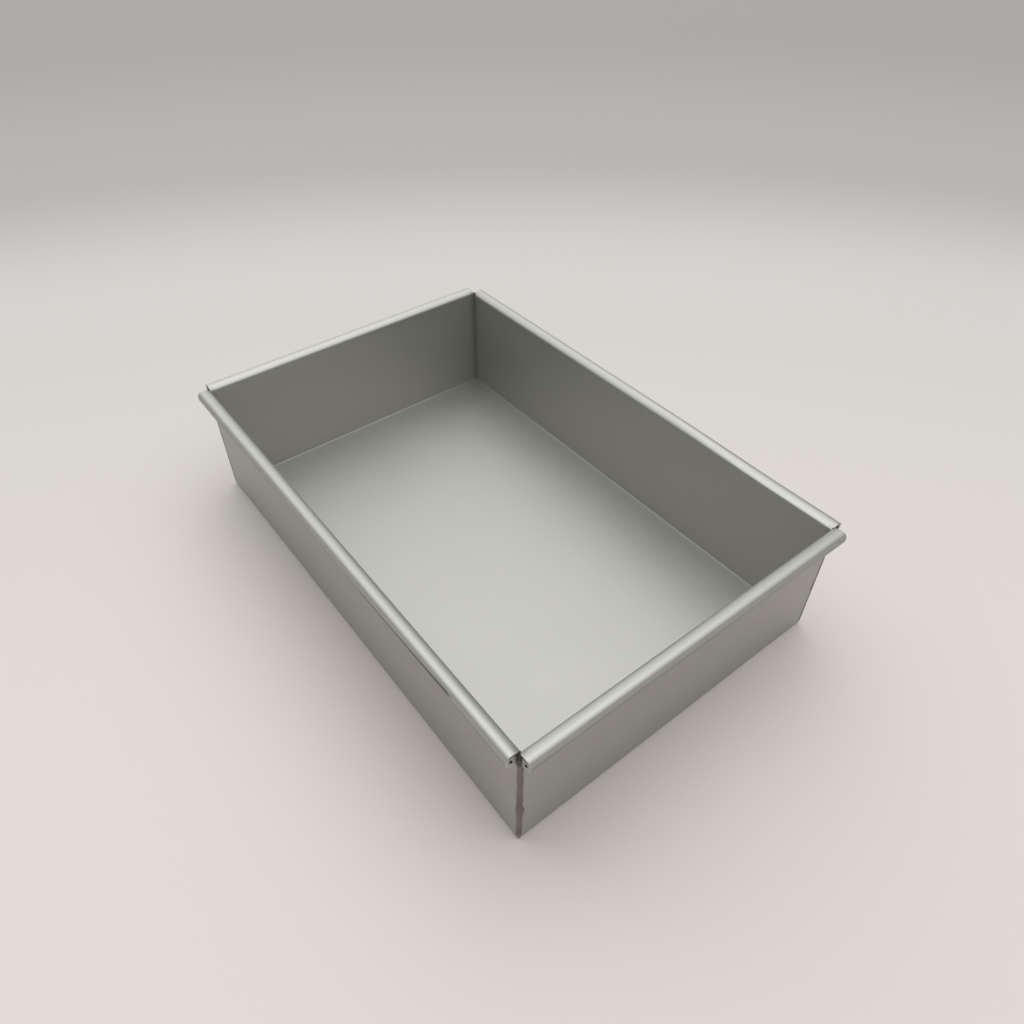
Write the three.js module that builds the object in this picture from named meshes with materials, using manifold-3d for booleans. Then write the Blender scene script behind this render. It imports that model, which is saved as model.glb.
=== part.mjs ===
// Rectangular cake pan: one folded aluminium sheet with rolled rims, and a weld bead up each corner.
// Millimetres, +Z up. The origin is under the middle of the floor, and the long walls run along X.

import * as THREE from 'three';
import { mergeVertices } from 'three/addons/utils/BufferGeometryUtils.js';
import Module from 'manifold-3d';

// Pan
const INSIDE_LENGTH = 305;
const INSIDE_WIDTH = 200;
const HEIGHT = 77.5; // table to the crest of the rim

// Sheet
const SHEET = 1.4;
const FOLD_RADIUS = 0.5; // inside the fold between floor and wall
const SEAM = 0.15; // each flap stops this far short of the inside corner

// Rolled rim: a scroll whose second turn lies inside the first
const ROLL_CORE = 2.3; // clear width of the hollow in the middle
const ROLL_GAP = 0.15; // between one turn and the next
const ROLL_TURNS = 1.5;

// Weld bead
const BEAD_LAP = 0.4; // how far a toe of the bead lies on the wall
const BEAD_CROWN = 0.3; // how far the bead's crown stays inside the sharp outer corner
const BEAD_TUCK = 0.2; // how far the bead draws in between the rims and at its foot
const BEAD_TOE_RUN = 2.2; // height over which a toe comes onto the wall or leaves it
const BEAD_TOP_DROP = 2.6; // crest of the rim to the top of the bead
const BEAD_TOP_ROUND = 2.4; // height of the bead's rounded top
const BEAD_FOOT = 0.1; // table to the foot of the bead
const RIPPLE_PITCH = 3.4; // from one puddle of the weld to the next
const RIPPLE_DEPTH = 0.1;
const LUMP_SPREAD = 3; // half the height of the lump where the welder stopped
const LUMP_LAP = 0.5; // how much wider the bead is there

// Fineness
const FOLD_STEPS = 5;
const ROLL_STEPS = 54;
const BEAD_STEPS = 54; // along the stretch whose toes lie on the walls
const BEAD_END_STEPS = 6; // along each short stretch above and below it
const CAP_STEPS = 8;

// Sizes that follow from those above
const HALF_LENGTH = INSIDE_LENGTH / 2;
const HALF_WIDTH = INSIDE_WIDTH / 2;
const FOLD_TOP = SHEET + FOLD_RADIUS;
const TURN_PITCH = SHEET + ROLL_GAP;
const ROLL_RADIUS = ROLL_CORE / 2 + SHEET + TURN_PITCH;
const ROLL_CENTRE = new THREE.Vector2(ROLL_RADIUS, HEIGHT - ROLL_RADIUS);
const ROLL_BOTTOM = HEIGHT - 2 * ROLL_RADIUS;
const NOTCH = SEAM + SHEET; // side of the square notch that a bead fills
const BEAD_TOP = HEIGHT - BEAD_TOP_DROP;
const TOES_START = FOLD_TOP;
const TOES_END = ROLL_BOTTOM;

const CORNERS = [
  { name: 'corner_weld_front_right', x: 1, y: -1, lumpHeight: 25 },
  { name: 'corner_weld_front_left', x: -1, y: -1, lumpHeight: 41 },
  { name: 'corner_weld_back_right', x: 1, y: 1, lumpHeight: 33 },
  { name: 'corner_weld_back_left', x: -1, y: 1, lumpHeight: 36 },
];

const SATIN_ALUMINIUM = new THREE.MeshStandardMaterial({ color: 0xb4b3af, roughness: 0.42, metalness: 1 });
const WELD_ALUMINIUM = new THREE.MeshStandardMaterial({ color: 0x77716e, roughness: 0.6, metalness: 1 });

const wasm = await Module();
wasm.setup();

function smooth(from, to, value) {
  return THREE.MathUtils.smoothstep(value, from, to);
}

function range(count, make) {
  return Array.from({ length: count }, (_, index) => make(index));
}

// A closed mesh as a solid that can be joined and cut
function solid(geometry) {
  geometry.deleteAttribute('normal');
  geometry.deleteAttribute('uv');
  const merged = mergeVertices(geometry);
  return new wasm.Manifold(new wasm.Mesh({
    numProp: 3,
    vertProperties: merged.attributes.position.array,
    triVerts: Uint32Array.from(merged.index.array),
  }));
}

function geometryOf(body) {
  const mesh = body.getMesh();
  const geometry = new THREE.BufferGeometry();
  geometry.setAttribute('position', new THREE.BufferAttribute(mesh.vertProperties, 3));
  geometry.setIndex(new THREE.BufferAttribute(mesh.triVerts, 1));
  return geometry;
}

// Points of the sheet's section are (outward from a wall's inside face, height above the table).
// Depth into the sheet is 0 on the face that is inside the pan, and SHEET on the other face.

// The fold is a quarter turn about one centre, from the floor to the wall
function foldPoint(step, depth) {
  const angle = (step / FOLD_STEPS) * (Math.PI / 2);
  const radius = FOLD_RADIUS + depth;
  return new THREE.Vector2(-FOLD_RADIUS + radius * Math.sin(angle), FOLD_TOP - radius * Math.cos(angle));
}

// The roll keeps its radius for the upper half of each turn and loses one pitch in the lower half,
// where it tucks in beside the wall
function rollPoint(step, depth) {
  const turned = (step / ROLL_STEPS) * ROLL_TURNS;
  const whole = Math.floor(turned);
  const tucked = whole + smooth(0.5, 1, turned - whole);
  const radius = ROLL_RADIUS - TURN_PITCH * tucked - depth;
  const angle = Math.PI - turned * 2 * Math.PI;
  return new THREE.Vector2(radius * Math.cos(angle), radius * Math.sin(angle)).add(ROLL_CENTRE);
}

// One face of the sheet from the floor, through the fold and up the wall, to the lip of the roll
function facePoints(depth) {
  return [
    ...range(FOLD_STEPS + 1, (step) => foldPoint(step, depth)),
    ...range(ROLL_STEPS + 1, (step) => rollPoint(step, depth)),
  ];
}

// The sheet's section carried round the pan: each of its points draws a rectangle, each rectangle is
// joined to the next, and the first and the last one close as the two faces of the floor
function foldedTray() {
  const section = [...facePoints(SHEET), ...facePoints(0).reverse()];
  const turns = [[1, 1], [-1, 1], [-1, -1], [1, -1]];
  const count = turns.length;
  const positions = section.flatMap((point) => turns.flatMap(([x, y]) => [
    x * (HALF_LENGTH + point.x),
    y * (HALF_WIDTH + point.x),
    point.y,
  ]));
  const last = count * (section.length - 1);
  const triangles = [0, 2, 1, 0, 3, 2, last, last + 1, last + 2, last, last + 2, last + 3];
  for (let ring = 0; ring < last; ring += count) {
    for (let corner = 0; corner < count; corner += 1) {
      const here = ring + corner;
      const next = ring + ((corner + 1) % count);
      triangles.push(here, next, next + count, here, next + count, here + count);
    }
  }
  const geometry = new THREE.BufferGeometry();
  geometry.setAttribute('position', new THREE.Float32BufferAttribute(positions, 3));
  geometry.setIndex(triangles);
  return solid(geometry);
}

// The square notch at a corner, which parts two walls and leaves both rims cut off square
function cornerNotch(x, y) {
  const reach = 2 * ROLL_RADIUS + 2 * SHEET;
  const geometry = new THREE.BoxGeometry(reach, reach, 2 * HEIGHT);
  geometry.translate(x * (HALF_LENGTH - SEAM + reach / 2), y * (HALF_WIDTH - SEAM + reach / 2), HEIGHT / 2);
  return solid(geometry);
}

function panSheet() {
  const body = CORNERS.reduce((tray, { x, y }) => tray.subtract(cornerNotch(x, y)), foldedTray());
  const mesh = new THREE.Mesh(geometryOf(body), SATIN_ALUMINIUM);
  mesh.name = 'pan_sheet';
  return mesh;
}

// A bead's section lies in the notch between two flaps. Its root is at (0, 0), and u and v run out from
// there along X and Y. It follows the end of one flap, a toe on that wall, the round cap, the toe on the
// other wall and the end of the other flap.
function beadSection(height, lumpHeight) {
  const foot = Math.min(1, height / FOLD_TOP);
  const head = Math.min(1, (BEAD_TOP - height) / BEAD_TOP_ROUND);
  const fullness = Math.sqrt(1 - (1 - foot) ** 2) * Math.sqrt(1 - (1 - head) ** 2);
  const side = Math.max(NOTCH * fullness, 2 * BEAD_TUCK);
  const arriving = smooth(TOES_START, TOES_START + BEAD_TOE_RUN, height);
  const leaving = smooth(TOES_END - BEAD_TOE_RUN, TOES_END, height);
  const onWall = arriving * (1 - leaving);
  const lump = Math.exp(-(((height - lumpHeight) / LUMP_SPREAD) ** 2));
  const ripple = RIPPLE_DEPTH * Math.abs(Math.sin((Math.PI * height) / RIPPLE_PITCH));
  const lap = onWall * (BEAD_LAP + BEAD_TUCK + LUMP_LAP * lump + ripple) - BEAD_TUCK;
  const tuck = Math.max(0, -lap);
  const crown = (side * Math.SQRT2 - BEAD_CROWN * fullness + ripple) / Math.SQRT2;
  const cap = new THREE.QuadraticBezierCurve(
    new THREE.Vector2(-lap, side),
    new THREE.Vector2(2 * crown - (side - lap) / 2, 2 * crown - (side - lap) / 2),
    new THREE.Vector2(side, -lap),
  );
  return [
    new THREE.Vector2(0, 0),
    new THREE.Vector2(0, side - tuck),
    ...cap.getPoints(CAP_STEPS),
    new THREE.Vector2(side - tuck, 0),
  ];
}

// Heights of a bead's sections, close together where its toes come and go and at its two ends
function beadHeights() {
  const stretches = [
    [BEAD_FOOT, TOES_START, BEAD_END_STEPS],
    [TOES_START, TOES_START + BEAD_TOE_RUN, BEAD_END_STEPS],
    [TOES_START + BEAD_TOE_RUN, TOES_END - BEAD_TOE_RUN, BEAD_STEPS],
    [TOES_END - BEAD_TOE_RUN, TOES_END, BEAD_END_STEPS],
    [TOES_END, BEAD_TOP, BEAD_END_STEPS],
  ];
  const rising = stretches.flatMap(([low, high, steps]) => (
    range(steps, (step) => THREE.MathUtils.lerp(low, high, step / steps))
  ));
  return [...rising, BEAD_TOP];
}

// Sections joined by a skin and closed at both ends
function beadGeometry(corner) {
  const heights = beadHeights();
  const sections = heights.map((height) => beadSection(height, corner.lumpHeight));
  const count = sections[0].length;
  const positions = sections.flatMap((section, level) => section.flatMap((point) => [
    corner.x * (HALF_LENGTH - SEAM + point.x),
    corner.y * (HALF_WIDTH - SEAM + point.y),
    heights[level],
  ]));
  const triangles = [];
  for (let level = 0; level < heights.length - 1; level += 1) {
    for (let index = 0; index < count; index += 1) {
      const next = (index + 1) % count;
      const low = level * count;
      const high = low + count;
      triangles.push([low + index, high + index, low + next]);
      triangles.push([low + next, high + index, high + next]);
    }
  }
  const last = (heights.length - 1) * count;
  for (let index = 1; index < count - 1; index += 1) {
    triangles.push([0, index, index + 1]);
    triangles.push([last, last + index + 1, last + index]);
  }
  const mirrored = corner.x * corner.y < 0;
  const geometry = new THREE.BufferGeometry();
  geometry.setAttribute('position', new THREE.Float32BufferAttribute(positions, 3));
  geometry.setIndex(triangles.flatMap(([a, b, c]) => (mirrored ? [a, c, b] : [a, b, c])));
  return geometry;
}

function cornerWeld(corner) {
  const mesh = new THREE.Mesh(beadGeometry(corner), WELD_ALUMINIUM);
  mesh.name = corner.name;
  return mesh;
}

const pan = new THREE.Group();
pan.name = 'rectangular_cake_pan';
pan.add(panSheet(), ...CORNERS.map(cornerWeld));

export default pan;
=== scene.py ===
# %% [markdown]
# # A rectangular cake pan
# The real pan is one sheet of aluminium. Its four sides are folded up, the top edge of each side is rolled
# outwards into a round rim, and each corner is closed by a weld bead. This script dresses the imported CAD
# model: it makes the same pieces again with finer curves and small irregularities, and gives them finishes.
# The CAD model stays as the frame, so everything here is in metres, with the origin under the middle of the
# floor, the long walls along X and Z up. Front is the low end of Y, and left the low end of X.

# %% Load the frame
import math
from collections import namedtuple
import bpy
import numpy as np
from mathutils import Matrix


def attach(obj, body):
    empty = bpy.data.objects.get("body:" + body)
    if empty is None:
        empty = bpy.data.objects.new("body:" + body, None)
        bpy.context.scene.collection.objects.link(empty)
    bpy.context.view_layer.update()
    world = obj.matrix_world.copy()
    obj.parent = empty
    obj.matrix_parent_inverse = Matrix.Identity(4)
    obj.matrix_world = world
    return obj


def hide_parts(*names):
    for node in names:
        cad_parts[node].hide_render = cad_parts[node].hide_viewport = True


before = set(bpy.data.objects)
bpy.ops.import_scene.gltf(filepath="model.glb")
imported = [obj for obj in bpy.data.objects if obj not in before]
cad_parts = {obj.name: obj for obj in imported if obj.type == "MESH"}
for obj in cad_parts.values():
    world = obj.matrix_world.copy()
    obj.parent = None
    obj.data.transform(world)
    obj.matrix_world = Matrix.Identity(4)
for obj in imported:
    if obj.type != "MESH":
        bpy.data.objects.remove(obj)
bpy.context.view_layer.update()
print("CAD nodes:", sorted(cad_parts))

# %% [markdown]
# ## Sizes
# The pan's sizes are the CAD model's own, written once here in millimetres. They could be read back from
# the imported boxes, but a box gives no sheet thickness and no rim radius, so the few that are needed are
# repeated, and the overall size that they give is printed.

# %% Sizes in millimetres
MM = 0.001
HALF_LENGTH = 152.5
HALF_WIDTH = 100.0
HEIGHT = 77.5
SHEET = 1.4
FOLD_RADIUS = 0.5
SEAM = 0.15
RIM_WIDTH = 8.2
FOLD_TOP = SHEET + FOLD_RADIUS
overall = np.array([2 * (HALF_LENGTH + RIM_WIDTH), 2 * (HALF_WIDTH + RIM_WIDTH), HEIGHT])
print("Overall from these sizes, mm:", overall)

# %% [markdown]
# ## The camera
# The photograph looks down into the pan over one corner. The camera was solved from the pan's straight
# edges: its place, its turn, its focal length and a small shift, which stands for the way the picture was
# cropped. A camera could also be aimed by eye with a tracking constraint, but a matrix made of its three
# directions is exact and has nothing left to evaluate.

# %% Camera
PICTURE_SIDE = 1024
FOCAL_PIXELS = 790.571
SENSOR_WIDTH = 36.0
CLIP_NEAR, CLIP_FAR = 10.0, 50000.0
AZIMUTH, ELEVATION, ROLL = (math.radians(v) for v in (52.940, 43.135, 0.548))
CAMERA_PLACE = np.array([274.09, -201.49, 356.40])
PRINCIPAL_OFFSET = (-13.532, -10.309)


def camera_directions(azimuth, elevation, roll):
    """Right, up and back of a camera: back points from the pan to the camera, right is level, and then
    right and up turn by the roll."""
    back = np.array([
        math.sin(azimuth) * math.cos(elevation),
        -math.cos(azimuth) * math.cos(elevation),
        math.sin(elevation),
    ])
    sideways = np.array([math.cos(azimuth), math.sin(azimuth), 0.0])
    upright = np.cross(back, sideways)
    right = math.cos(roll) * sideways - math.sin(roll) * upright
    up = math.sin(roll) * sideways + math.cos(roll) * upright
    return right, up, back


camera_data = bpy.data.cameras.new("photo_camera")
camera = bpy.data.objects.new("photo_camera", camera_data)
bpy.context.scene.collection.objects.link(camera)
camera_data.sensor_width = SENSOR_WIDTH
camera_data.lens = FOCAL_PIXELS * SENSOR_WIDTH / PICTURE_SIDE
camera_data.shift_x = -PRINCIPAL_OFFSET[0] / PICTURE_SIDE
camera_data.shift_y = PRINCIPAL_OFFSET[1] / PICTURE_SIDE
camera_data.clip_start = CLIP_NEAR * MM
camera_data.clip_end = CLIP_FAR * MM
placed = np.eye(4)
placed[:3, :3] = np.stack(camera_directions(AZIMUTH, ELEVATION, ROLL), axis=1)
placed[:3, 3] = CAMERA_PLACE * MM
camera.matrix_world = Matrix(placed.tolist())
bpy.context.scene.camera = camera
print("Lens, mm:", round(camera_data.lens, 2), "at", np.round(CAMERA_PLACE, 1), "mm")

# %% [markdown]
# ## Small helpers
# Colours are written as sRGB hex values, as a paint chart has them, and one function turns them to the
# linear numbers that shaders use. Another adds a shader node with its settings and links. Nodes could be
# added line by line, but then each would take four or five lines, and the way they join would be hard to
# follow.

# %% Helpers for materials


def linear(hex_colour):
    """sRGB hex to linear RGBA: v / 12.92 in the darks, otherwise ((v + 0.055) / 1.055) to the power 2.4."""
    srgb = np.array([int(hex_colour[i:i + 2], 16) for i in (1, 3, 5)]) / 255.0
    rgb = np.where(srgb <= 0.04045, srgb / 12.92, ((srgb + 0.055) / 1.055) ** 2.4)
    return (*rgb.tolist(), 1.0)


def add_node(tree, kind, settings=None, **inputs):
    """A node of that kind: settings are its own properties, inputs are values or links for its sockets. An
    input called _0, _1 or _2 is the socket of that number."""
    node = tree.nodes.new(kind)
    for name, value in (settings or {}).items():
        setattr(node, name, value)
    for name, value in inputs.items():
        socket = node.inputs[int(name[1:]) if name[1:].isdigit() else name.replace("_", " ")]
        if isinstance(value, bpy.types.NodeSocket):
            tree.links.new(value, socket)
        else:
            socket.default_value = value
    return node


def new_material(name):
    """An empty material and its node tree, ready for a shader."""
    material = bpy.data.materials.new(name)
    material.use_nodes = True
    material.node_tree.nodes.clear()
    return material, material.node_tree


print("A mid grey of #808080 is", round(linear("#808080")[0], 3), "in linear light")

# %% [markdown]
# ## Satin rolled aluminium
# The sheet is mill-rolled aluminium with a fine satin surface under a thin skin of oxide. It blurs what it
# mirrors, so flat walls show soft gradients and the rims a broad bright line, and the skin takes a little
# from its metallic look. To the eye it is a slightly warm grey. A brushed look could come from strong
# anisotropy, but the photograph shows only a faint grain along the rolling direction, so a weak stretched
# noise moves the roughness and a weak bump, and a large soft noise makes the handling marks. The rims are a
# little smoother, because they were rubbed as they were rolled. The real grain, about 0.05 mm wide, is too
# fine to show, so it is drawn at 0.5 mm by 9 mm.

# %% Satin: grain, handling and roughness
GRAIN_LENGTH, GRAIN_WIDTH, GRAIN_DEPTH, HANDLING_SIZE = 9.0, 0.5, 0.05, 55.0
GRAIN_SHARE = 0.35
NOISE_LOW, NOISE_HIGH = 0.3, 1.05
SMOOTHEST, ROUGHEST = 0.49, 0.57
BURNISH, BURNISH_FROM, BURNISH_TO = 0.08, 68.0, 74.0
satin, tree = new_material("satin_rolled_aluminium")
on_sheet = add_node(tree, "ShaderNodeTexCoord").outputs["Object"]
grain_space = add_node(
    tree, "ShaderNodeMapping", Vector=on_sheet,
    Scale=(1 / (GRAIN_LENGTH * MM), 1 / (GRAIN_WIDTH * MM), 1 / (GRAIN_WIDTH * MM)))
grain = add_node(
    tree, "ShaderNodeTexNoise",
    Vector=grain_space.outputs["Vector"], Scale=1.0, Detail=3.0, Roughness=0.6).outputs["Fac"]
handling = add_node(
    tree, "ShaderNodeTexNoise",
    Vector=on_sheet, Scale=1 / (HANDLING_SIZE * MM), Detail=2.0, Roughness=0.5).outputs["Fac"]
both = add_node(
    tree, "ShaderNodeMath", {"operation": "MULTIPLY_ADD"}, _0=grain, _1=GRAIN_SHARE, _2=handling)
sheet_roughness = add_node(
    tree, "ShaderNodeMapRange", Value=both.outputs["Value"],
    From_Min=NOISE_LOW, From_Max=NOISE_HIGH, To_Min=SMOOTHEST, To_Max=ROUGHEST)
spot = add_node(tree, "ShaderNodeSeparateXYZ", Vector=on_sheet).outputs
burnish = add_node(
    tree, "ShaderNodeMapRange", Value=spot["Z"],
    From_Min=BURNISH_FROM * MM, From_Max=BURNISH_TO * MM, To_Min=0.0, To_Max=BURNISH)
satin_roughness = add_node(
    tree, "ShaderNodeMath", {"operation": "SUBTRACT"},
    _0=sheet_roughness.outputs["Result"], _1=burnish.outputs["Result"]).outputs["Value"]
print("Satin roughness:", SMOOTHEST, "to", ROUGHEST, "on the sheet and", BURNISH, "less on the rims")

# %% [markdown]
# ## Darkening and painted shade on the sheet
# The sheet is darker beside each corner. A thin painted shadow line runs along the lower side of the front
# rim, where the rim meets the wall. Painted shade sits under the rims, inside the rolls, on the plates that
# close them and on their cut ends, and thinly on the outer faces. All three could be painted into a mask,
# but that would be an image. So the corner darkening comes from the distance to the nearest corner, and the
# shadow line from the distance to a slightly sloping line. The painted shade is a value on each face of the
# mesh, which the walls get where they are made. The darkest of the three counts.

# %% Satin: darker beside the corners
# How much darker the sheet is beside each corner, and between which distances the darkening fades.
CORNER_DARK, CORNER_DARK_FROM, CORNER_DARK_TO = 0.14, 1.4, 4.5
quarter_x, quarter_y = (
    add_node(tree, "ShaderNodeMath", {"operation": "ABSOLUTE"}, _0=spot[axis]).outputs["Value"]
    for axis in "XY")
quarter = add_node(tree, "ShaderNodeCombineXYZ", X=quarter_x, Y=quarter_y)
from_corner = add_node(
    tree, "ShaderNodeVectorMath", {"operation": "DISTANCE"},
    _0=quarter.outputs["Vector"], _1=(HALF_LENGTH * MM, HALF_WIDTH * MM, 0.0))
corner_dark = add_node(
    tree, "ShaderNodeMapRange", {"interpolation_type": "SMOOTHSTEP"}, Value=from_corner.outputs["Value"],
    From_Min=CORNER_DARK_FROM * MM, From_Max=CORNER_DARK_TO * MM, To_Min=CORNER_DARK, To_Max=0.0).outputs["Result"]
# This prints how far from each corner the sheet is darker.
print("Heat tint reaches", CORNER_DARK_TO, "mm from each corner")

# %% Satin: painted shadow line and painted shade
# A thin painted shadow line along the lower side of the front rim, where the rim meets the wall.
SHADOW_LINE_FROM, SHADOW_LINE_TO = 40.5, 118.0
SHADOW_LINE_HEIGHT, SHADOW_LINE_SLOPE, SHADOW_LINE_DARK = 73.9, 0.022, 0.85
SHADOW_LINE_CORE, SHADOW_LINE_EDGE = 0.25, 0.65
FADE_IN, FADE_OUT = 3.0, 5.0
OUTER_SIDE, OUTER_SIDE_FULL = -106.0, -107.0
SHADOW_LINE_FADES = (
    ("X", SHADOW_LINE_FROM, SHADOW_LINE_FROM + FADE_IN),
    ("X", SHADOW_LINE_TO, SHADOW_LINE_TO - FADE_OUT),
    ("Y", OUTER_SIDE, OUTER_SIDE_FULL),
)
shadow_line_level = add_node(
    tree, "ShaderNodeMath", {"operation": "MULTIPLY_ADD"},
    _0=spot["X"], _1=SHADOW_LINE_SLOPE, _2=(SHADOW_LINE_HEIGHT - SHADOW_LINE_SLOPE * SHADOW_LINE_FROM) * MM)
above_line = add_node(
    tree, "ShaderNodeMath", {"operation": "SUBTRACT"}, _0=spot["Z"], _1=shadow_line_level.outputs["Value"])
from_line = add_node(tree, "ShaderNodeMath", {"operation": "ABSOLUTE"}, _0=above_line.outputs["Value"])
painted_shadow_line = add_node(
    tree, "ShaderNodeMapRange", Value=from_line.outputs["Value"],
    From_Min=SHADOW_LINE_CORE * MM, From_Max=SHADOW_LINE_EDGE * MM,
    To_Min=SHADOW_LINE_DARK, To_Max=0.0).outputs["Result"]
for axis, clear, full in SHADOW_LINE_FADES:
    fade = add_node(tree, "ShaderNodeMapRange", Value=spot[axis], From_Min=clear * MM, From_Max=full * MM)
    painted_shadow_line = add_node(
        tree, "ShaderNodeMath", {"operation": "MULTIPLY"},
        _0=painted_shadow_line, _1=fade.outputs["Result"]).outputs["Value"]
# Painted shade that the faces of the sheet carry, made with the walls.
shade_on_faces = add_node(tree, "ShaderNodeAttribute", {"attribute_name": "painted_shade"}).outputs["Fac"]
darkening = corner_dark
for dark_part in (painted_shadow_line, shade_on_faces):
    darkening = add_node(
        tree, "ShaderNodeMath", {"operation": "MAXIMUM"}, _0=darkening, _1=dark_part).outputs["Value"]
# This prints where the painted shadow line under the front rim starts and ends.
print("Scratch runs from", SHADOW_LINE_FROM, "to", SHADOW_LINE_TO, "mm along the front rim")

# %% [markdown]
# ## The satin's colour
# Two near greys, mixed by the handling marks, are darkened towards a near black where the sheet is darker:
# beside the corners, along the painted shadow line and under the painted shade. A single grey would do for
# the flat parts, but it would look like paint.

# %% Satin: colour and shader
tone = add_node(
    tree, "ShaderNodeMix", {"data_type": "RGBA"},
    Factor=handling, A=linear("#babab4"), B=linear("#c0c0ba"))
# Mixing towards this near black paints the shade and the shadow line into the colour, and darkens the
# corners.
darkened = add_node(
    tree, "ShaderNodeMix", {"data_type": "RGBA"},
    Factor=darkening, A=tone.outputs["Result"], B=linear("#161413"))
relief = add_node(tree, "ShaderNodeBump", Height=grain, Strength=0.06, Distance=GRAIN_DEPTH * MM)
shader = add_node(
    tree, "ShaderNodeBsdfPrincipled",
    Base_Color=darkened.outputs["Result"], Metallic=0.82, Roughness=satin_roughness,
    Normal=relief.outputs["Normal"])
add_node(tree, "ShaderNodeOutputMaterial", Surface=shader.outputs["BSDF"])
print("Made", satin.name, "with", len(tree.nodes), "nodes")

# %% [markdown]
# ## Aluminium as welded
# A weld bead cools with a dull, slightly brown-grey skin of oxide and small pits. It mirrors almost
# nothing, so it gets a darker colour and a high roughness, and a noise of 0.8 mm, about twice the size of
# the pits, for colour and bump together. Its top, between the rims, is darker, and its foot is paler. Both
# could be masks, but the height alone is enough to place them.

# %% Aluminium as welded
PIT_SIZE, PIT_DEPTH, PATCH_SIZE = 0.8, 0.15, 7.0
PIT_SHARE = 0.5
SKIN_LOW, SKIN_HIGH = 0.45, 1.05
TOP_DARK_AMOUNT, TOP_DARK_FROM, TOP_DARK_TO = 0.6, 62.0, 72.0
PALE_AMOUNT, PALE_FROM, PALE_TO = 0.6, 1.0, 7.0
welded, tree = new_material("aluminium_as_welded")
on_bead = add_node(tree, "ShaderNodeTexCoord").outputs["Object"]
pits, patches = (
    add_node(
        tree, "ShaderNodeTexNoise",
        Vector=on_bead, Scale=1 / (size * MM), Detail=detail, Roughness=roughness).outputs["Fac"]
    for size, detail, roughness in ((PIT_SIZE, 3.0, 0.6), (PATCH_SIZE, 2.0, 0.5)))
shade = add_node(
    tree, "ShaderNodeMath", {"operation": "MULTIPLY_ADD"}, _0=pits, _1=PIT_SHARE, _2=patches)
skin = add_node(
    tree, "ShaderNodeMapRange", Value=shade.outputs["Value"], From_Min=SKIN_LOW, From_Max=SKIN_HIGH)
tone = add_node(
    tree, "ShaderNodeMix", {"data_type": "RGBA"},
    Factor=skin.outputs["Result"], A=linear("#79706d"), B=linear("#9b928e"))
bead_height = add_node(tree, "ShaderNodeSeparateXYZ", Vector=on_bead).outputs["Z"]
# The bead is darker towards its top, under the ends of the rims.
top_dark = add_node(
    tree, "ShaderNodeMapRange", Value=bead_height,
    From_Min=TOP_DARK_FROM * MM, From_Max=TOP_DARK_TO * MM, To_Min=0.0, To_Max=TOP_DARK_AMOUNT)
top_darkened = add_node(
    tree, "ShaderNodeMix", {"data_type": "RGBA"},
    Factor=top_dark.outputs["Result"], A=tone.outputs["Result"], B=linear("#3a3533"))
pale = add_node(
    tree, "ShaderNodeMapRange", Value=bead_height,
    From_Min=PALE_FROM * MM, From_Max=PALE_TO * MM, To_Min=PALE_AMOUNT, To_Max=0.0)
footed = add_node(
    tree, "ShaderNodeMix", {"data_type": "RGBA"},
    Factor=pale.outputs["Result"], A=top_darkened.outputs["Result"], B=linear("#b4afa9"))
relief = add_node(tree, "ShaderNodeBump", Height=pits, Strength=0.5, Distance=PIT_DEPTH * MM)
shader = add_node(
    tree, "ShaderNodeBsdfPrincipled",
    Base_Color=footed.outputs["Result"], Metallic=1.0, Roughness=0.6, Normal=relief.outputs["Normal"])
add_node(tree, "ShaderNodeOutputMaterial", Surface=shader.outputs["BSDF"])
print("Made", welded.name, "with", len(tree.nodes), "nodes")

# %% [markdown]
# ## Meshes from grids
# Every piece is a set of grids: rows of points carried along a path. The faces of a grid follow from its
# counts alone, so they are made as whole arrays. Grids that share an edge have the same points there, and
# joining equal points closes the mesh. A modelling tool such as Bridge could sew the edges too, but it
# would depend on selections.

# %% Grids to one closed mesh
JOIN_DECIMALS = 4
SHEET_SHARP, BEAD_SHARP = 35.0, 60.0


def grid_faces(rows, columns, first, turned=False):
    """Quads of a rows by columns grid whose points count up row by row from first. Turned swaps the
    side that they face."""
    index = first + np.arange(rows * columns).reshape(rows, columns)
    corners = [index[:-1, :-1], index[:-1, 1:], index[1:, 1:], index[1:, :-1]]
    quads = np.stack(corners, axis=-1).reshape(-1, 4)
    return quads[:, ::-1] if turned else quads


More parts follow.
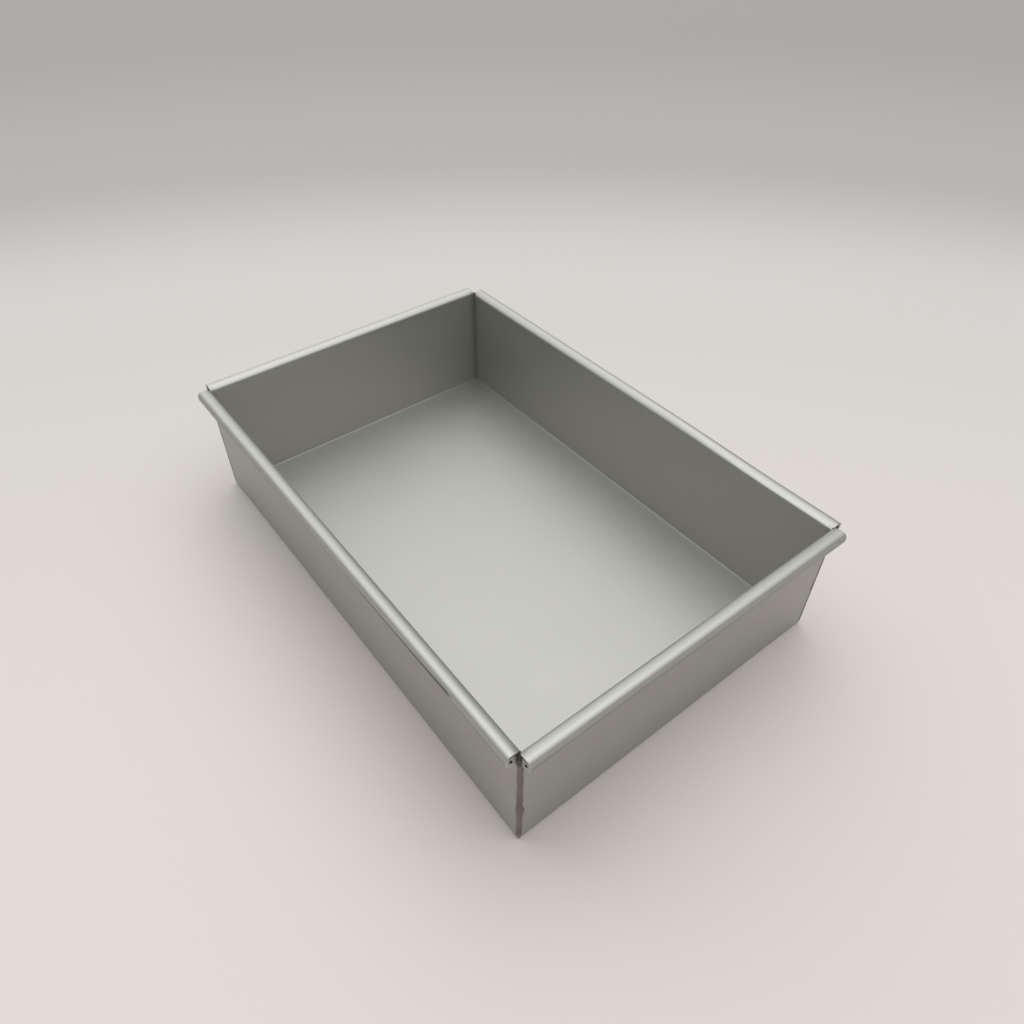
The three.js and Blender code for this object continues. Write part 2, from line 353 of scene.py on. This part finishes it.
def closed_mesh(name, grids, sharp_degrees=SHEET_SHARP):
    """One mesh of several (points, turned, painted shade) grids in millimetres. Equal points are joined at
    0.0001 mm, and a quad with one side closed up becomes a triangle. Painted shade is one value for a grid,
    or one for each of its faces, and ends up as a value on every face."""
    points = np.concatenate([grid.reshape(-1, 3) for grid, _, _ in grids])
    starts = np.cumsum([0] + [grid.shape[0] * grid.shape[1] for grid, _, _ in grids])
    quads = np.concatenate([
        grid_faces(grid.shape[0], grid.shape[1], start, turned)
        for (grid, turned, _), start in zip(grids, starts)
    ])
    painted_shade = np.concatenate([
        np.broadcast_to(value, (grid.shape[0] - 1, grid.shape[1] - 1)).ravel() for grid, _, value in grids
    ])
    rounded = np.round(points, JOIN_DECIMALS)
    _, keep, same = np.unique(rounded, axis=0, return_index=True, return_inverse=True)
    quads = same.ravel()[quads]
    closed = quads == np.roll(quads, -1, axis=1)
    whole, pointed = ~closed.any(axis=1), closed.sum(axis=1) == 1
    faces = quads[whole].tolist() + quads[pointed][~closed[pointed]].reshape(-1, 3).tolist()
    mesh = bpy.data.meshes.new(name)
    mesh.from_pydata((points[keep] * MM).tolist(), [], faces)
    # Each face keeps its amount of painted shade for the satin's colour.
    shade_layer = mesh.attributes.new("painted_shade", "FLOAT", "FACE")
    shade_layer.data.foreach_set("value", np.concatenate([painted_shade[whole], painted_shade[pointed]]).astype(np.float32))
    mesh.validate()
    mesh.polygons.foreach_set("use_smooth", np.ones(len(mesh.polygons), dtype=bool))
    mesh.set_sharp_from_angle(angle=math.radians(sharp_degrees))
    mesh.update()
    return mesh


def add_piece(mesh, material, node):
    """The mesh as a piece of the pan that rides on its one body and stands for a CAD node."""
    piece = bpy.data.objects.new(mesh.name, mesh)
    bpy.context.scene.collection.objects.link(piece)
    mesh.materials.append(material)
    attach(piece, "root")
    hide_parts(node)
    print(mesh.name, "has", len(mesh.vertices), "points and", len(mesh.polygons), "faces")


# %% [markdown]
# ## The section of the sheet
# Seen end on, the sheet leaves the floor in a tight fold, rises as a flat wall, breaks outwards in a second
# tight bend, goes over the round crest of the rim, tucks in beside the wall, and ends in a hairpin inside
# the roll, which leaves a small hollow on the outer side. It could be drawn as a curve with a bevel, but
# here it is a path of straight stretches and arcs, walked like a turtle's: each step knows its heading, so
# the other face of the sheet lies one sheet to the right everywhere, and the two faces have matching rows,
# which close the cut ends later.

# %% Section
BREAK_RADIUS, BREAK_TURN = 2.2, math.radians(48)
SLOPE_RADIUS = 6.4
SIDE_DROP = 1.1
ROLL_GAP = 0.15
HAIRPIN_ROOM = 0.05
HAIRPIN_RADIUS, INNER_RADIUS = SHEET + HAIRPIN_ROOM, 2.2
INNER_RISE, LEG = 0.2, 1.15
INNER_TURN, LEG_HEADING = math.radians(60), math.radians(-108)
FOLD_ROWS, WALL_ROWS = 8, 10
BREAK_ROWS, SLOPE_ROWS, SHOULDER_ROWS, TUCK_ROWS = 8, 14, 16, 22
INNER_ROWS, HAIRPIN_ROWS, LEG_ROWS = 7, 12, 3
BREAK_WIDTH = BREAK_RADIUS * (1 - math.cos(BREAK_TURN))
SHOULDER_RADIUS = RIM_WIDTH - BREAK_WIDTH - SLOPE_RADIUS * math.cos(BREAK_TURN)
SLOPE_HEIGHT = SLOPE_RADIUS * (1 - math.sin(BREAK_TURN))
BREAK_HEIGHT = HEIGHT - BREAK_RADIUS * math.sin(BREAK_TURN) - SLOPE_HEIGHT
TUCK_RADIUS = (RIM_WIDTH - SHEET - ROLL_GAP) / 2


def right_of(heading):
    """The unit direction to the right of a heading: (sine, minus cosine)."""
    return np.stack([np.sin(heading), -np.cos(heading)], axis=-1)


def walk(start, heading, stretches):
    """Points and headings of a path of (radius, turn, steps) arcs and (length, None, steps) straights. A
    turn to the right is positive and has a positive radius: its centre is start + radius * right, and a
    point is centre - radius * right at its own heading."""
    points, headings = [np.array([start])], [np.array([heading])]
    for size, turn, steps in stretches:
        share = np.arange(1, steps + 1) / steps
        here, facing = points[-1][-1], headings[-1][-1]
        if turn is None:
            headings.append(np.full(steps, facing))
            points.append(here + size * share[:, None] * np.array([math.cos(facing), math.sin(facing)]))
        else:
            headings.append(facing - turn * share)
            points.append(here + size * (right_of(facing) - right_of(headings[-1])))
    return np.concatenate(points), np.concatenate(headings)


inside_face, heading = walk((-FOLD_RADIUS, SHEET), 0.0, (
    (-FOLD_RADIUS, -math.pi / 2, FOLD_ROWS),
    (BREAK_HEIGHT - FOLD_TOP, None, WALL_ROWS),
    (BREAK_RADIUS, BREAK_TURN, BREAK_ROWS),
    (SLOPE_RADIUS, math.pi / 2 - BREAK_TURN, SLOPE_ROWS),
    (SHOULDER_RADIUS, math.pi / 2, SHOULDER_ROWS),
    (SIDE_DROP, None, 1),
    (TUCK_RADIUS, math.pi, TUCK_ROWS),
    (INNER_RISE, None, 1),
    (INNER_RADIUS, INNER_TURN, INNER_ROWS),
    (HAIRPIN_RADIUS, math.pi / 2 - INNER_TURN - LEG_HEADING, HAIRPIN_ROWS),
    (LEG, None, LEG_ROWS),
))
outside_face = inside_face + SHEET * right_of(heading)
rows = len(inside_face)
roll_turned = np.where(np.arange(rows) > FOLD_ROWS, (math.pi / 2 - heading) / (2 * math.pi), 0.0)
print("Section has", rows, "rows; its crest is at", round(float(inside_face[:, 1].max()), 3), "mm")
print("Its lip is at", np.round(inside_face[-1], 2), "mm after", round(float(roll_turned[-1]), 2), "turns")

# %% [markdown]
# ## Where the rows of a wall end
# Each wall is the section carried along one side. Its ends aren't all cut at one place: the fold starts
# from the floor's corner, the wall stops just short of the inside corner, and at the corner nearest to the
# camera the two rims run on a little further, as in the photograph. So the half length of the path is
# itself a function of the row, told by how far the roll has turned. A sweep modifier has one length for all
# rows.

# %% Ends of the rows
OVERRUN_FROM, OVERRUN_RUN = 0.10, 0.08
INNER_FROM, INNER_RUN = 1.0, 0.02
RECESS = 1.0


def smooth(share):
    """A soft step: 3 s^2 - 2 s^3 of the share s, which stays between 0 and 1."""
    share = np.clip(share, 0, 1)
    return share * share * (3 - 2 * share)


def end_of_rows(half_run, overrun):
    """Where each row of a wall ends: from the floor's corner out to the seam over the fold, then straight
    up, past the corner by the overrun once the roll has left the wall, and back again inside the roll."""
    fold_part = np.clip(np.arange(rows) / FOLD_ROWS, 0, 1)
    seam_end = half_run - FOLD_RADIUS + (FOLD_RADIUS - SEAM) * fold_part
    past_corner = (overrun + SEAM) * smooth((roll_turned - OVERRUN_FROM) / OVERRUN_RUN)
    drawn_back = RECESS * smooth((roll_turned - INNER_FROM) / INNER_RUN)
    return seam_end + past_corner - drawn_back


far_end = end_of_rows(HALF_LENGTH, 0.0)
print("Rows of a long wall end between", round(far_end.min(), 2), "and", round(far_end.max(), 2), "mm")

# %% [markdown]
# ## The closed ends of the rims
# The rims' ends were pressed nearly shut as they were rolled: each shows metal with a small three-sided
# hollow in it. The end could be cut from a plate with a boolean, but a grid that runs from the roll's inner
# face to the hollow's edge needs no cut and follows the roll row by row.

# %% Closing section
HOLLOW = np.array([[5.1, 74.7], [6.62, 73.6], [4.25, 71.6]])
CLOSING_START, CLOSING_ROWS = 0.01, 7
ONE_TURN = 1.001
EDGE_ON, FAR_OFF = 1e-6, 1e9


def closing_section():
    """Section points (row, place round the loop) that close the end of a roll but for its hollow. The loop
    is the roll's own inner face, and the hollow is a triangle: from its middle c, the edge in direction u
    is at c + u * min(d / (n . u)) over the triangle's sides with normals n and distances d."""
    loop = outside_face[(np.arange(rows) >= FOLD_ROWS + WALL_ROWS) & (roll_turned < ONE_TURN)]
    loop = np.concatenate([loop, loop[:1]])
    middle = HOLLOW.mean(axis=0)
    sides = np.roll(HOLLOW, -1, axis=0) - HOLLOW
    normals = np.stack([-sides[:, 1], sides[:, 0]], axis=-1)
    normals *= np.sign(np.sum(normals * (HOLLOW - middle), axis=1))[:, None]
    distances = np.sum(normals * (HOLLOW - middle), axis=1)
    away = loop - middle
    away /= np.linalg.norm(away, axis=1)[:, None]
    facing = away @ normals.T
    reach = np.where(facing > EDGE_ON, distances / np.maximum(facing, EDGE_ON), FAR_OFF)
    edge = middle + away * reach.min(axis=1)[:, None]
    share = np.linspace(CLOSING_START, 1, CLOSING_ROWS)[:, None, None]
    return loop + (edge - loop) * share


closing = closing_section()
print("A rim's end is closed by", closing.shape[0], "rows of", closing.shape[1], "points")

# %% [markdown]
# ## A point of the section in its wall
# No such pan comes out quite even. On this one the short rims sit half a millimetre lower than the front
# one, and the back rim still lower, with a shallow dent towards its right end. A lattice could bend the
# finished sheet that way, but here the same function that sets a section point into its wall lowers it
# too.

# %% Section points into a wall
UP = np.array([0.0, 0.0, 1.0])
DENT_FROM, DENT_RUN = 40.0, 80.0


def wall_place(outward, inside_distance, sunk, dent):
    """A function that sets section points into one wall. A point is outward times (distance + its outward
    value), plus along times its place along the wall, plus its height, less the wall's share of how far its
    rim is sunk, and less a dent that grows towards the high end."""
    outward = np.array(outward, dtype=float)
    along = np.cross(outward, UP)

    def place(section, run, rim_part):
        crest_part = np.clip((section[..., 1] - BREAK_HEIGHT) / (HEIGHT - BREAK_HEIGHT), 0, 1)
        dented = dent * smooth((run - DENT_FROM) / DENT_RUN) * crest_part
        height = section[..., 1] - sunk * rim_part - dented
        level_part = outward * (inside_distance + section[..., :1]) + along * run[..., None]
        return level_part + UP * height[..., None]

    return place


print("A dent would grow from", DENT_FROM, "to", DENT_FROM + DENT_RUN, "mm along its wall")

# %% [markdown]
# ## The sheet of a wall
# A wall's sheet is two faces, the lip between them and two cut ends. Solidify could give one face its
# thickness, but the walk along the section already gives both. The grids also carry painted shade: most of
# it inside the roll, and less under the rim, on the cut edges and on the outside.

# %% Grids of a wall's sheet
# Amounts of painted shade, from 0 to 1: inside the roll, on the outer faces, under the rim and on the cut
# ends below the rim.
ROLL_SHADE, LIP_STARTS, ROLL_STARTS = 1.0, 1.02, 0.02
OUTSIDE_SHADE = 0.1
UNDER_RIM_SHADE, UNDER_FROM, UNDER_RUN = 0.3, 0.40, 0.1
CUT_SHADE, CUT_SHADE_FADE_FROM, CUT_SHADE_FADE_RUN = 0.5, 0.32, 0.1


def sheet_grids(place, half_run, columns, overruns):
    """Grids of one wall's sheet: its two faces, the lip between them and its two cut ends. A row's points
    are spread evenly between its two ends, and painted shade goes by how far the roll has turned."""
    low = -end_of_rows(half_run, overruns[0])[:, None]
    high = end_of_rows(half_run, overruns[1])[:, None]
    run = low + (high - low) * np.linspace(0, 1, columns + 1)
    wall_part = np.clip((np.arange(rows) - FOLD_ROWS) / WALL_ROWS, 0, 1)[:, None]
    inner, outer = (place(face[:, None], run, wall_part) for face in (inside_face, outside_face))
    lip = np.stack([inner[-1], outer[-1]])
    start = np.stack([inner[:, 0], outer[:, 0]])
    end = np.stack([inner[:, -1], outer[:, -1]])
    turned = roll_turned[1:, None]
    under_rim_shade = UNDER_RIM_SHADE * smooth((turned - UNDER_FROM) / UNDER_RUN)
    inner_shade = np.where(turned > LIP_STARTS, ROLL_SHADE, under_rim_shade)
    outer_shade = np.where(turned > ROLL_STARTS, ROLL_SHADE, OUTSIDE_SHADE)
    cut_shade = CUT_SHADE * (1 - smooth((turned.T - CUT_SHADE_FADE_FROM) / CUT_SHADE_FADE_RUN))
    return [
        (inner, False, inner_shade), (outer, True, outer_shade), (lip, False, ROLL_SHADE),
        (start, False, cut_shade), (end, True, cut_shade),
    ]


# Both printed amounts are painted shade.
print("Stain under a rim:", UNDER_RIM_SHADE, "and inside its roll:", ROLL_SHADE)

# %% [markdown]
# ## Four walls
# Each wall also gets the plates that close the ends of its roll. One wall could be made and copied, but the
# four differ: in length, in how low their rims sit, and in how far their rims run on at the corner nearest
# to the camera. The ends of those two also carry the least painted shade.

# %% Walls with rims
END_THICKNESS = 0.6
# Painted shade on the closing plates: heavier next to the wall, light on the near ends and heavy on the far
# ones.
END_SHADE, END_SHADE_REACH, END_SHADE_FADE = 0.7, 3.9, 1.8
NEAR_END_SHADE, FAR_END_SHADE = 0.2, 0.85


def plate_grids(place, half_run, overruns):
    """Grids that close the two ends of a wall's roll: the closing section at the rim's end, again at the
    plate's thickness further in, and back. Painted shade is least on the ends that run on past the near
    corner, and heavier on every plate next to the wall."""
    ring = np.concatenate([closing, closing[::-1], closing[:1]])
    depth = np.repeat([0.0, END_THICKNESS, 0.0], [len(closing), len(closing), 1])[:, None]
    depth = np.broadcast_to(depth, ring.shape[:2])
    end_shade = END_SHADE * smooth((END_SHADE_REACH - closing[:-1, :-1, 0]) / END_SHADE_FADE)
    within = np.full((len(closing) + 1, closing.shape[1] - 1), ROLL_SHADE)
    grids = []
    for side, overrun in zip((-1, 1), overruns):
        shown = np.maximum(end_shade, NEAR_END_SHADE if overrun > 0 else FAR_END_SHADE)
        points = place(ring, side * (half_run + overrun - depth), 1.0)
        grids.append((points, side < 0, np.concatenate([shown, within])))
    return grids


def wall_grids(outward, inside_distance, half_run, columns, overruns, sunk, dent=0.0):
    """Grids of one wall: its sheet, and the plates that close the ends of its roll."""
    place = wall_place(outward, inside_distance, sunk, dent)
    return sheet_grids(place, half_run, columns, overruns) + plate_grids(place, half_run, overruns)


LONG_COLUMNS, SHORT_COLUMNS = 84, 56
NEAR_OVERRUN_LONG, NEAR_OVERRUN_SHORT = 0.6, 1.5
SUNK_SHORT, SUNK_BACK, BACK_DENT = 0.5, 1.7, 1.4
walls = (
    wall_grids((0, -1, 0), HALF_WIDTH, HALF_LENGTH, LONG_COLUMNS, (NEAR_OVERRUN_LONG, -SEAM), 0.0)
    + wall_grids((0, 1, 0), HALF_WIDTH, HALF_LENGTH, LONG_COLUMNS, (-SEAM, -SEAM), SUNK_BACK, BACK_DENT)
    + wall_grids((1, 0, 0), HALF_LENGTH, HALF_WIDTH, SHORT_COLUMNS, (-SEAM, NEAR_OVERRUN_SHORT), SUNK_SHORT)
    + wall_grids((-1, 0, 0), HALF_LENGTH, HALF_WIDTH, SHORT_COLUMNS, (-SEAM, -SEAM), SUNK_SHORT)
)
print("Walls have", sum(grid.shape[0] * grid.shape[1] for grid, _, _ in walls), "points before joining")

# %% [markdown]
# ## The floor and the finished sheet
# The floor is a flat plate whose edges are the first rows of the folds. It could be one large face, but the
# folds' points would then lie loose on its edges. Two grids with the same columns as the walls close it
# above and below, and the whole sheet becomes one mesh.

# %% Floor and sheet


def floor_grid(height):
    """A flat grid between the folds, with the walls' own columns."""
    x = np.linspace(-1, 1, LONG_COLUMNS + 1) * (HALF_LENGTH - FOLD_RADIUS)
    y = np.linspace(-1, 1, SHORT_COLUMNS + 1) * (HALF_WIDTH - FOLD_RADIUS)
    across, along = np.meshgrid(x, y)
    return np.stack([across, along, np.full_like(across, height)], axis=-1)


floor = [(floor_grid(SHEET), False, 0.0), (floor_grid(0.0), True, 0.0)]
add_piece(closed_mesh("folded_sheet", walls + floor), satin, "pan_sheet")

# %% [markdown]
# ## Weld beads
# A welder ran one bead up each corner. It fills the square notch between two walls, its toes lap onto the
# walls, and it shows the puddles it was laid in, with a lump where the welder stopped. It leans a little
# onto one wall, and near the top it spreads to reach the rims' ends. It is a grid again: a section that
# changes with the height. A displaced cylinder would be quicker, but it wouldn't follow the two walls.

# %% Section of a bead at every height
NOTCH = SEAM + SHEET
ROLL_BOTTOM = HEIGHT - RIM_WIDTH
BEAD_FOOT, BEAD_TOP, BEAD_TOP_ROUND = 0.1, 74.9, 2.4
BEAD_LAP, BEAD_CROWN, BEAD_TUCK, TOE_RUN = 0.22, 0.3, 0.2, 2.2
BEAD_LEAN, LEAN_AT_LUMP = 0.28, 2.0
TOP_SPREAD, SPREAD_FROM, SPREAD_RUN = 1.15, 64.0, 5.0
RIPPLE_PITCH, RIPPLE_DEPTH = 3.4, 0.1
SLOW_WAVER, SLOW_WAVE, QUICK_WAVER, QUICK_WAVE = 0.10, 2.1, 0.07, 0.83
OTHER_TOE = 2.0
LUMP_SPREAD, LUMP_LAP = 3.0, 0.5
BEAD_LEVELS, CAP_POINTS = 260, 15


def bead_grid(side_x, side_y, lump_height, phase):
    """Points (level, place in section) of a bead: root, one wall's end, a toe, the crown as a quadratic
    curve, the other toe and the other wall's end. Toes and crown vary with the ripple, the lump and a
    waver."""
    height = np.linspace(BEAD_FOOT, BEAD_TOP, BEAD_LEVELS)
    foot = np.clip(height / FOLD_TOP, 0, 1)
    head = np.clip((BEAD_TOP - height) / BEAD_TOP_ROUND, 0, 1)
    fullness = np.sqrt(1 - (1 - foot) ** 2) * np.sqrt(1 - (1 - head) ** 2)
    spread = TOP_SPREAD * smooth((height - SPREAD_FROM) / SPREAD_RUN)
    side = np.maximum((NOTCH + spread) * fullness, 2 * BEAD_TUCK)
    above_fold = smooth((height - FOLD_TOP) / TOE_RUN)
    below_roll = 1 - smooth((height - ROLL_BOTTOM + TOE_RUN) / TOE_RUN)
    lump = np.exp(-((height - lump_height) / LUMP_SPREAD) ** 2)
    ripple = RIPPLE_DEPTH * np.abs(np.sin(math.pi * height / RIPPLE_PITCH))

    def lap(turn, lean):
        waver = SLOW_WAVER * np.sin(height / SLOW_WAVE + phase + turn)
        waver = waver + QUICK_WAVER * np.sin(height / QUICK_WAVE + 2 * phase + turn)
        lapped = BEAD_LAP + lean * (1 + LEAN_AT_LUMP * lump) + LUMP_LAP * lump + ripple + waver
        return above_fold * below_roll * (lapped + BEAD_TUCK) - BEAD_TUCK

    lap_x, lap_y = lap(0.0, 0.0), lap(OTHER_TOE, BEAD_LEAN)
    tuck_x, tuck_y = np.maximum(0, -lap_x), np.maximum(0, -lap_y)
    crown = side - (BEAD_CROWN * fullness - ripple) / math.sqrt(2)
    toe_x, toe_y = np.stack([-lap_x, side], axis=-1), np.stack([side, -lap_y], axis=-1)
    pull = 2 * crown[:, None] - (toe_x + toe_y) / 2
    t = np.linspace(0, 1, CAP_POINTS)[None, :, None]
    cap = (1 - t) ** 2 * toe_x[:, None] + 2 * t * (1 - t) * pull[:, None] + t ** 2 * toe_y[:, None]
    zero = np.zeros_like(height)
    root = np.stack([zero, zero], axis=-1)[:, None]
    end_x, end_y = np.stack([zero, side - tuck_x], axis=-1), np.stack([side - tuck_y, zero], axis=-1)
    ring = np.concatenate([root, end_x[:, None], cap, end_y[:, None], root], axis=1)
    return np.stack([
        side_x * (HALF_LENGTH - SEAM + ring[..., 0]),
        side_y * (HALF_WIDTH - SEAM + ring[..., 1]),
        np.broadcast_to(height[:, None], ring.shape[:2]),
    ], axis=-1)


level_step = (BEAD_TOP - BEAD_FOOT) / (BEAD_LEVELS - 1)
print("A bead has", BEAD_LEVELS, "levels, one every", round(level_step, 2), "mm")

# %% [markdown]
# ## Four beads
# No two beads are alike: each has its own lump height and its own phase of the waver. One bead could be
# copied and mirrored, but then the four would match lump for lump.

# %% Beads in the four corners


def bead_grids(side_x, side_y, lump_height, phase):
    """The bead's skin and its two ends, each end a grid that runs from the root to the outline."""
    skin = bead_grid(side_x, side_y, lump_height, phase)
    mirrored = side_x * side_y < 0
    ends = [
        (np.stack([np.broadcast_to(ring[:1], ring.shape), ring]), turned, 0.0)
        for ring, turned in ((skin[0], mirrored), (skin[-1], not mirrored))
    ]
    return [(skin, not mirrored, 0.0)] + ends


Bead = namedtuple("Bead", "corner side_x side_y lump_height phase")
BEADS = (
    Bead("front_right", 1, -1, 26.2, 0.4),
    Bead("front_left", -1, -1, 41.0, 1.7),
    Bead("back_right", 1, 1, 33.0, 2.9),
    Bead("back_left", -1, 1, 36.0, 4.1),
)
for bead in BEADS:
    grids = bead_grids(bead.side_x, bead.side_y, bead.lump_height, bead.phase)
    bead_mesh = closed_mesh("weld_bead_" + bead.corner, grids, BEAD_SHARP)
    add_piece(bead_mesh, welded, "corner_weld_" + bead.corner)

# %% [markdown]
# ## The table
# The pan stands on a pale seamless sheet of paper. The sheet is one large disc, so that its edge lies far
# off on every side. In the photograph it is palest in front of the pan and falls off to the back, and that
# fall of light is painted into the paper: its tone goes by the distance in metres from a point in front. A
# lamp could make the same fall, but it would light the pan too.

# %% Table
FLOOR_RADIUS = 9000.0
TABLE_RINGS, TABLE_SPOKES = (0.0, 400.0, 1200.0, 3000.0, FLOOR_RADIUS), 96
PAPER_FRONT, PAPER_REACH = (0.8, -0.6, 0.0), 2.4
PAINTED_FALLOFF_TONES = ((0.85, "#e6dfda"), (1.35, "#dad7d3"), (1.68, "#b9b6b3"), (2.3, "#aca9a6"))
around = np.linspace(0, 2 * math.pi, TABLE_SPOKES + 1)[None, :]
out = np.array(TABLE_RINGS)[:, None]
flat = np.zeros((out.size, around.size))
disc = np.stack([out * np.cos(around), out * np.sin(around), flat], axis=-1)
table_mesh = closed_mesh("table_top", [(disc, False, 0.0)])
table = bpy.data.objects.new("table_top", table_mesh)
bpy.context.scene.collection.objects.link(table)
paper, tree = new_material("matte_backdrop_paper")
on_paper = add_node(tree, "ShaderNodeTexCoord").outputs["Object"]
distance = add_node(
    tree, "ShaderNodeVectorMath", {"operation": "DISTANCE"}, _0=on_paper, _1=PAPER_FRONT)
far = add_node(
    tree, "ShaderNodeMapRange", Value=distance.outputs["Value"], From_Min=0.0, From_Max=PAPER_REACH)
# This ramp paints the fall of light across the paper.
tone = add_node(tree, "ShaderNodeValToRGB", Fac=far.outputs["Result"])
tone.color_ramp.interpolation = "EASE"
stops = tone.color_ramp.elements
# A new colour ramp has two stops, and the others are added to it.
for index, (metres, colour) in enumerate(PAINTED_FALLOFF_TONES):
    stop = stops[index] if index < 2 else stops.new(1.0)
    stop.position, stop.color = metres / PAPER_REACH, linear(colour)
shader = add_node(tree, "ShaderNodeBsdfPrincipled", Base_Color=tone.outputs["Color"], Roughness=0.9)
add_node(tree, "ShaderNodeOutputMaterial", Surface=shader.outputs["BSDF"])
table_mesh.materials.append(paper)
print("Table is", 2 * FLOOR_RADIUS * MM, "m across")

# %% [markdown]
# ## Soft light
# The light is a broad soft glow overhead, which leans a little to the pan's back right corner, and a
# smaller one from beyond its left wall, over dim surroundings. Area lamps could give it, but each has an
# edge that satin metal would show, so the world itself is the lamp: its brightness rises smoothly from the
# dim horizon to the middle of each glow. On a level surface it adds up to about one, so that a colour
# renders about as it is written.

# %% Two glows
Glow = namedtuple("Glow", "axis start full low high")
OVERHEAD = Glow(np.array([0.20, 0.19, 1.0]), 0.54, 1.24, 0.15, 2.28)
BESIDE = Glow(np.array([-0.70, 0.10, 0.71]), 0.53, 0.93, 0.0, 1.0)
world = bpy.data.worlds.new("soft_overhead_light")
world.use_nodes = True
tree = world.node_tree
tree.nodes.clear()
way = add_node(tree, "ShaderNodeTexCoord").outputs["Generated"]


def add_glow(glow):
    """The brightness of one glow as a socket: with c the cosine between a way and the glow's axis, a soft
    step of (c - start) / (full - start) from its low to its high level."""
    towards = add_node(
        tree, "ShaderNodeVectorMath", {"operation": "DOT_PRODUCT"},
        _0=way, _1=(glow.axis / np.linalg.norm(glow.axis)).tolist())
    step = add_node(
        tree, "ShaderNodeMapRange", {"interpolation_type": "SMOOTHSTEP"}, Value=towards.outputs["Value"],
        From_Min=glow.start, From_Max=glow.full, To_Min=glow.low, To_Max=glow.high)
    return step.outputs["Result"]


light = add_node(
    tree, "ShaderNodeMath", {"operation": "ADD"},
    _0=add_glow(OVERHEAD), _1=add_glow(BESIDE)).outputs["Value"]
rise, turn = np.meshgrid(np.radians(np.arange(0.5, 90)), np.radians(np.arange(0.5, 360)), indexing="ij")
ways = np.stack([np.cos(rise) * np.cos(turn), np.cos(rise) * np.sin(turn), np.sin(rise)], axis=-1)
brightness = sum(
    glow.low + (glow.high - glow.low) * smooth(
        (ways @ glow.axis / np.linalg.norm(glow.axis) - glow.start) / (glow.full - glow.start))
    for glow in (OVERHEAD, BESIDE))
share = np.sin(rise) * np.cos(rise)
print("Light on a level surface:", round(float((brightness * share).sum() / share.sum()), 2))

# %% [markdown]
# ## A pale backdrop
# The dim surroundings would be a dark backdrop, and satin metal would mirror it. A lit wall behind the
# table could be built, but the world can show one: rays from the camera, and rays that are mirrored or
# pass through, see at least a pale grey. What lights a matt surface stays as it is.

# %% Backdrop
BACKDROP_LEVEL = 0.33
rays = add_node(tree, "ShaderNodeLightPath").outputs
mirrored = add_node(
    tree, "ShaderNodeMath", {"operation": "ADD"}, _0=rays["Is Camera Ray"], _1=rays["Is Glossy Ray"])
seen = add_node(
    tree, "ShaderNodeMath", {"operation": "ADD", "use_clamp": True},
    _0=mirrored.outputs["Value"], _1=rays["Is Transmission Ray"])
backdrop = add_node(
    tree, "ShaderNodeMath", {"operation": "MULTIPLY"}, _0=seen.outputs["Value"], _1=BACKDROP_LEVEL)
shown = add_node(
    tree, "ShaderNodeMath", {"operation": "MAXIMUM"}, _0=light, _1=backdrop.outputs["Value"])
sky = add_node(
    tree, "ShaderNodeBackground", Color=(1.0, 1.0, 1.0, 1.0), Strength=shown.outputs["Value"])
add_node(tree, "ShaderNodeOutputWorld", Surface=sky.outputs["Background"])
bpy.context.scene.world = world
bpy.context.scene.view_settings.view_transform = "Standard"
print("Backdrop level:", BACKDROP_LEVEL)
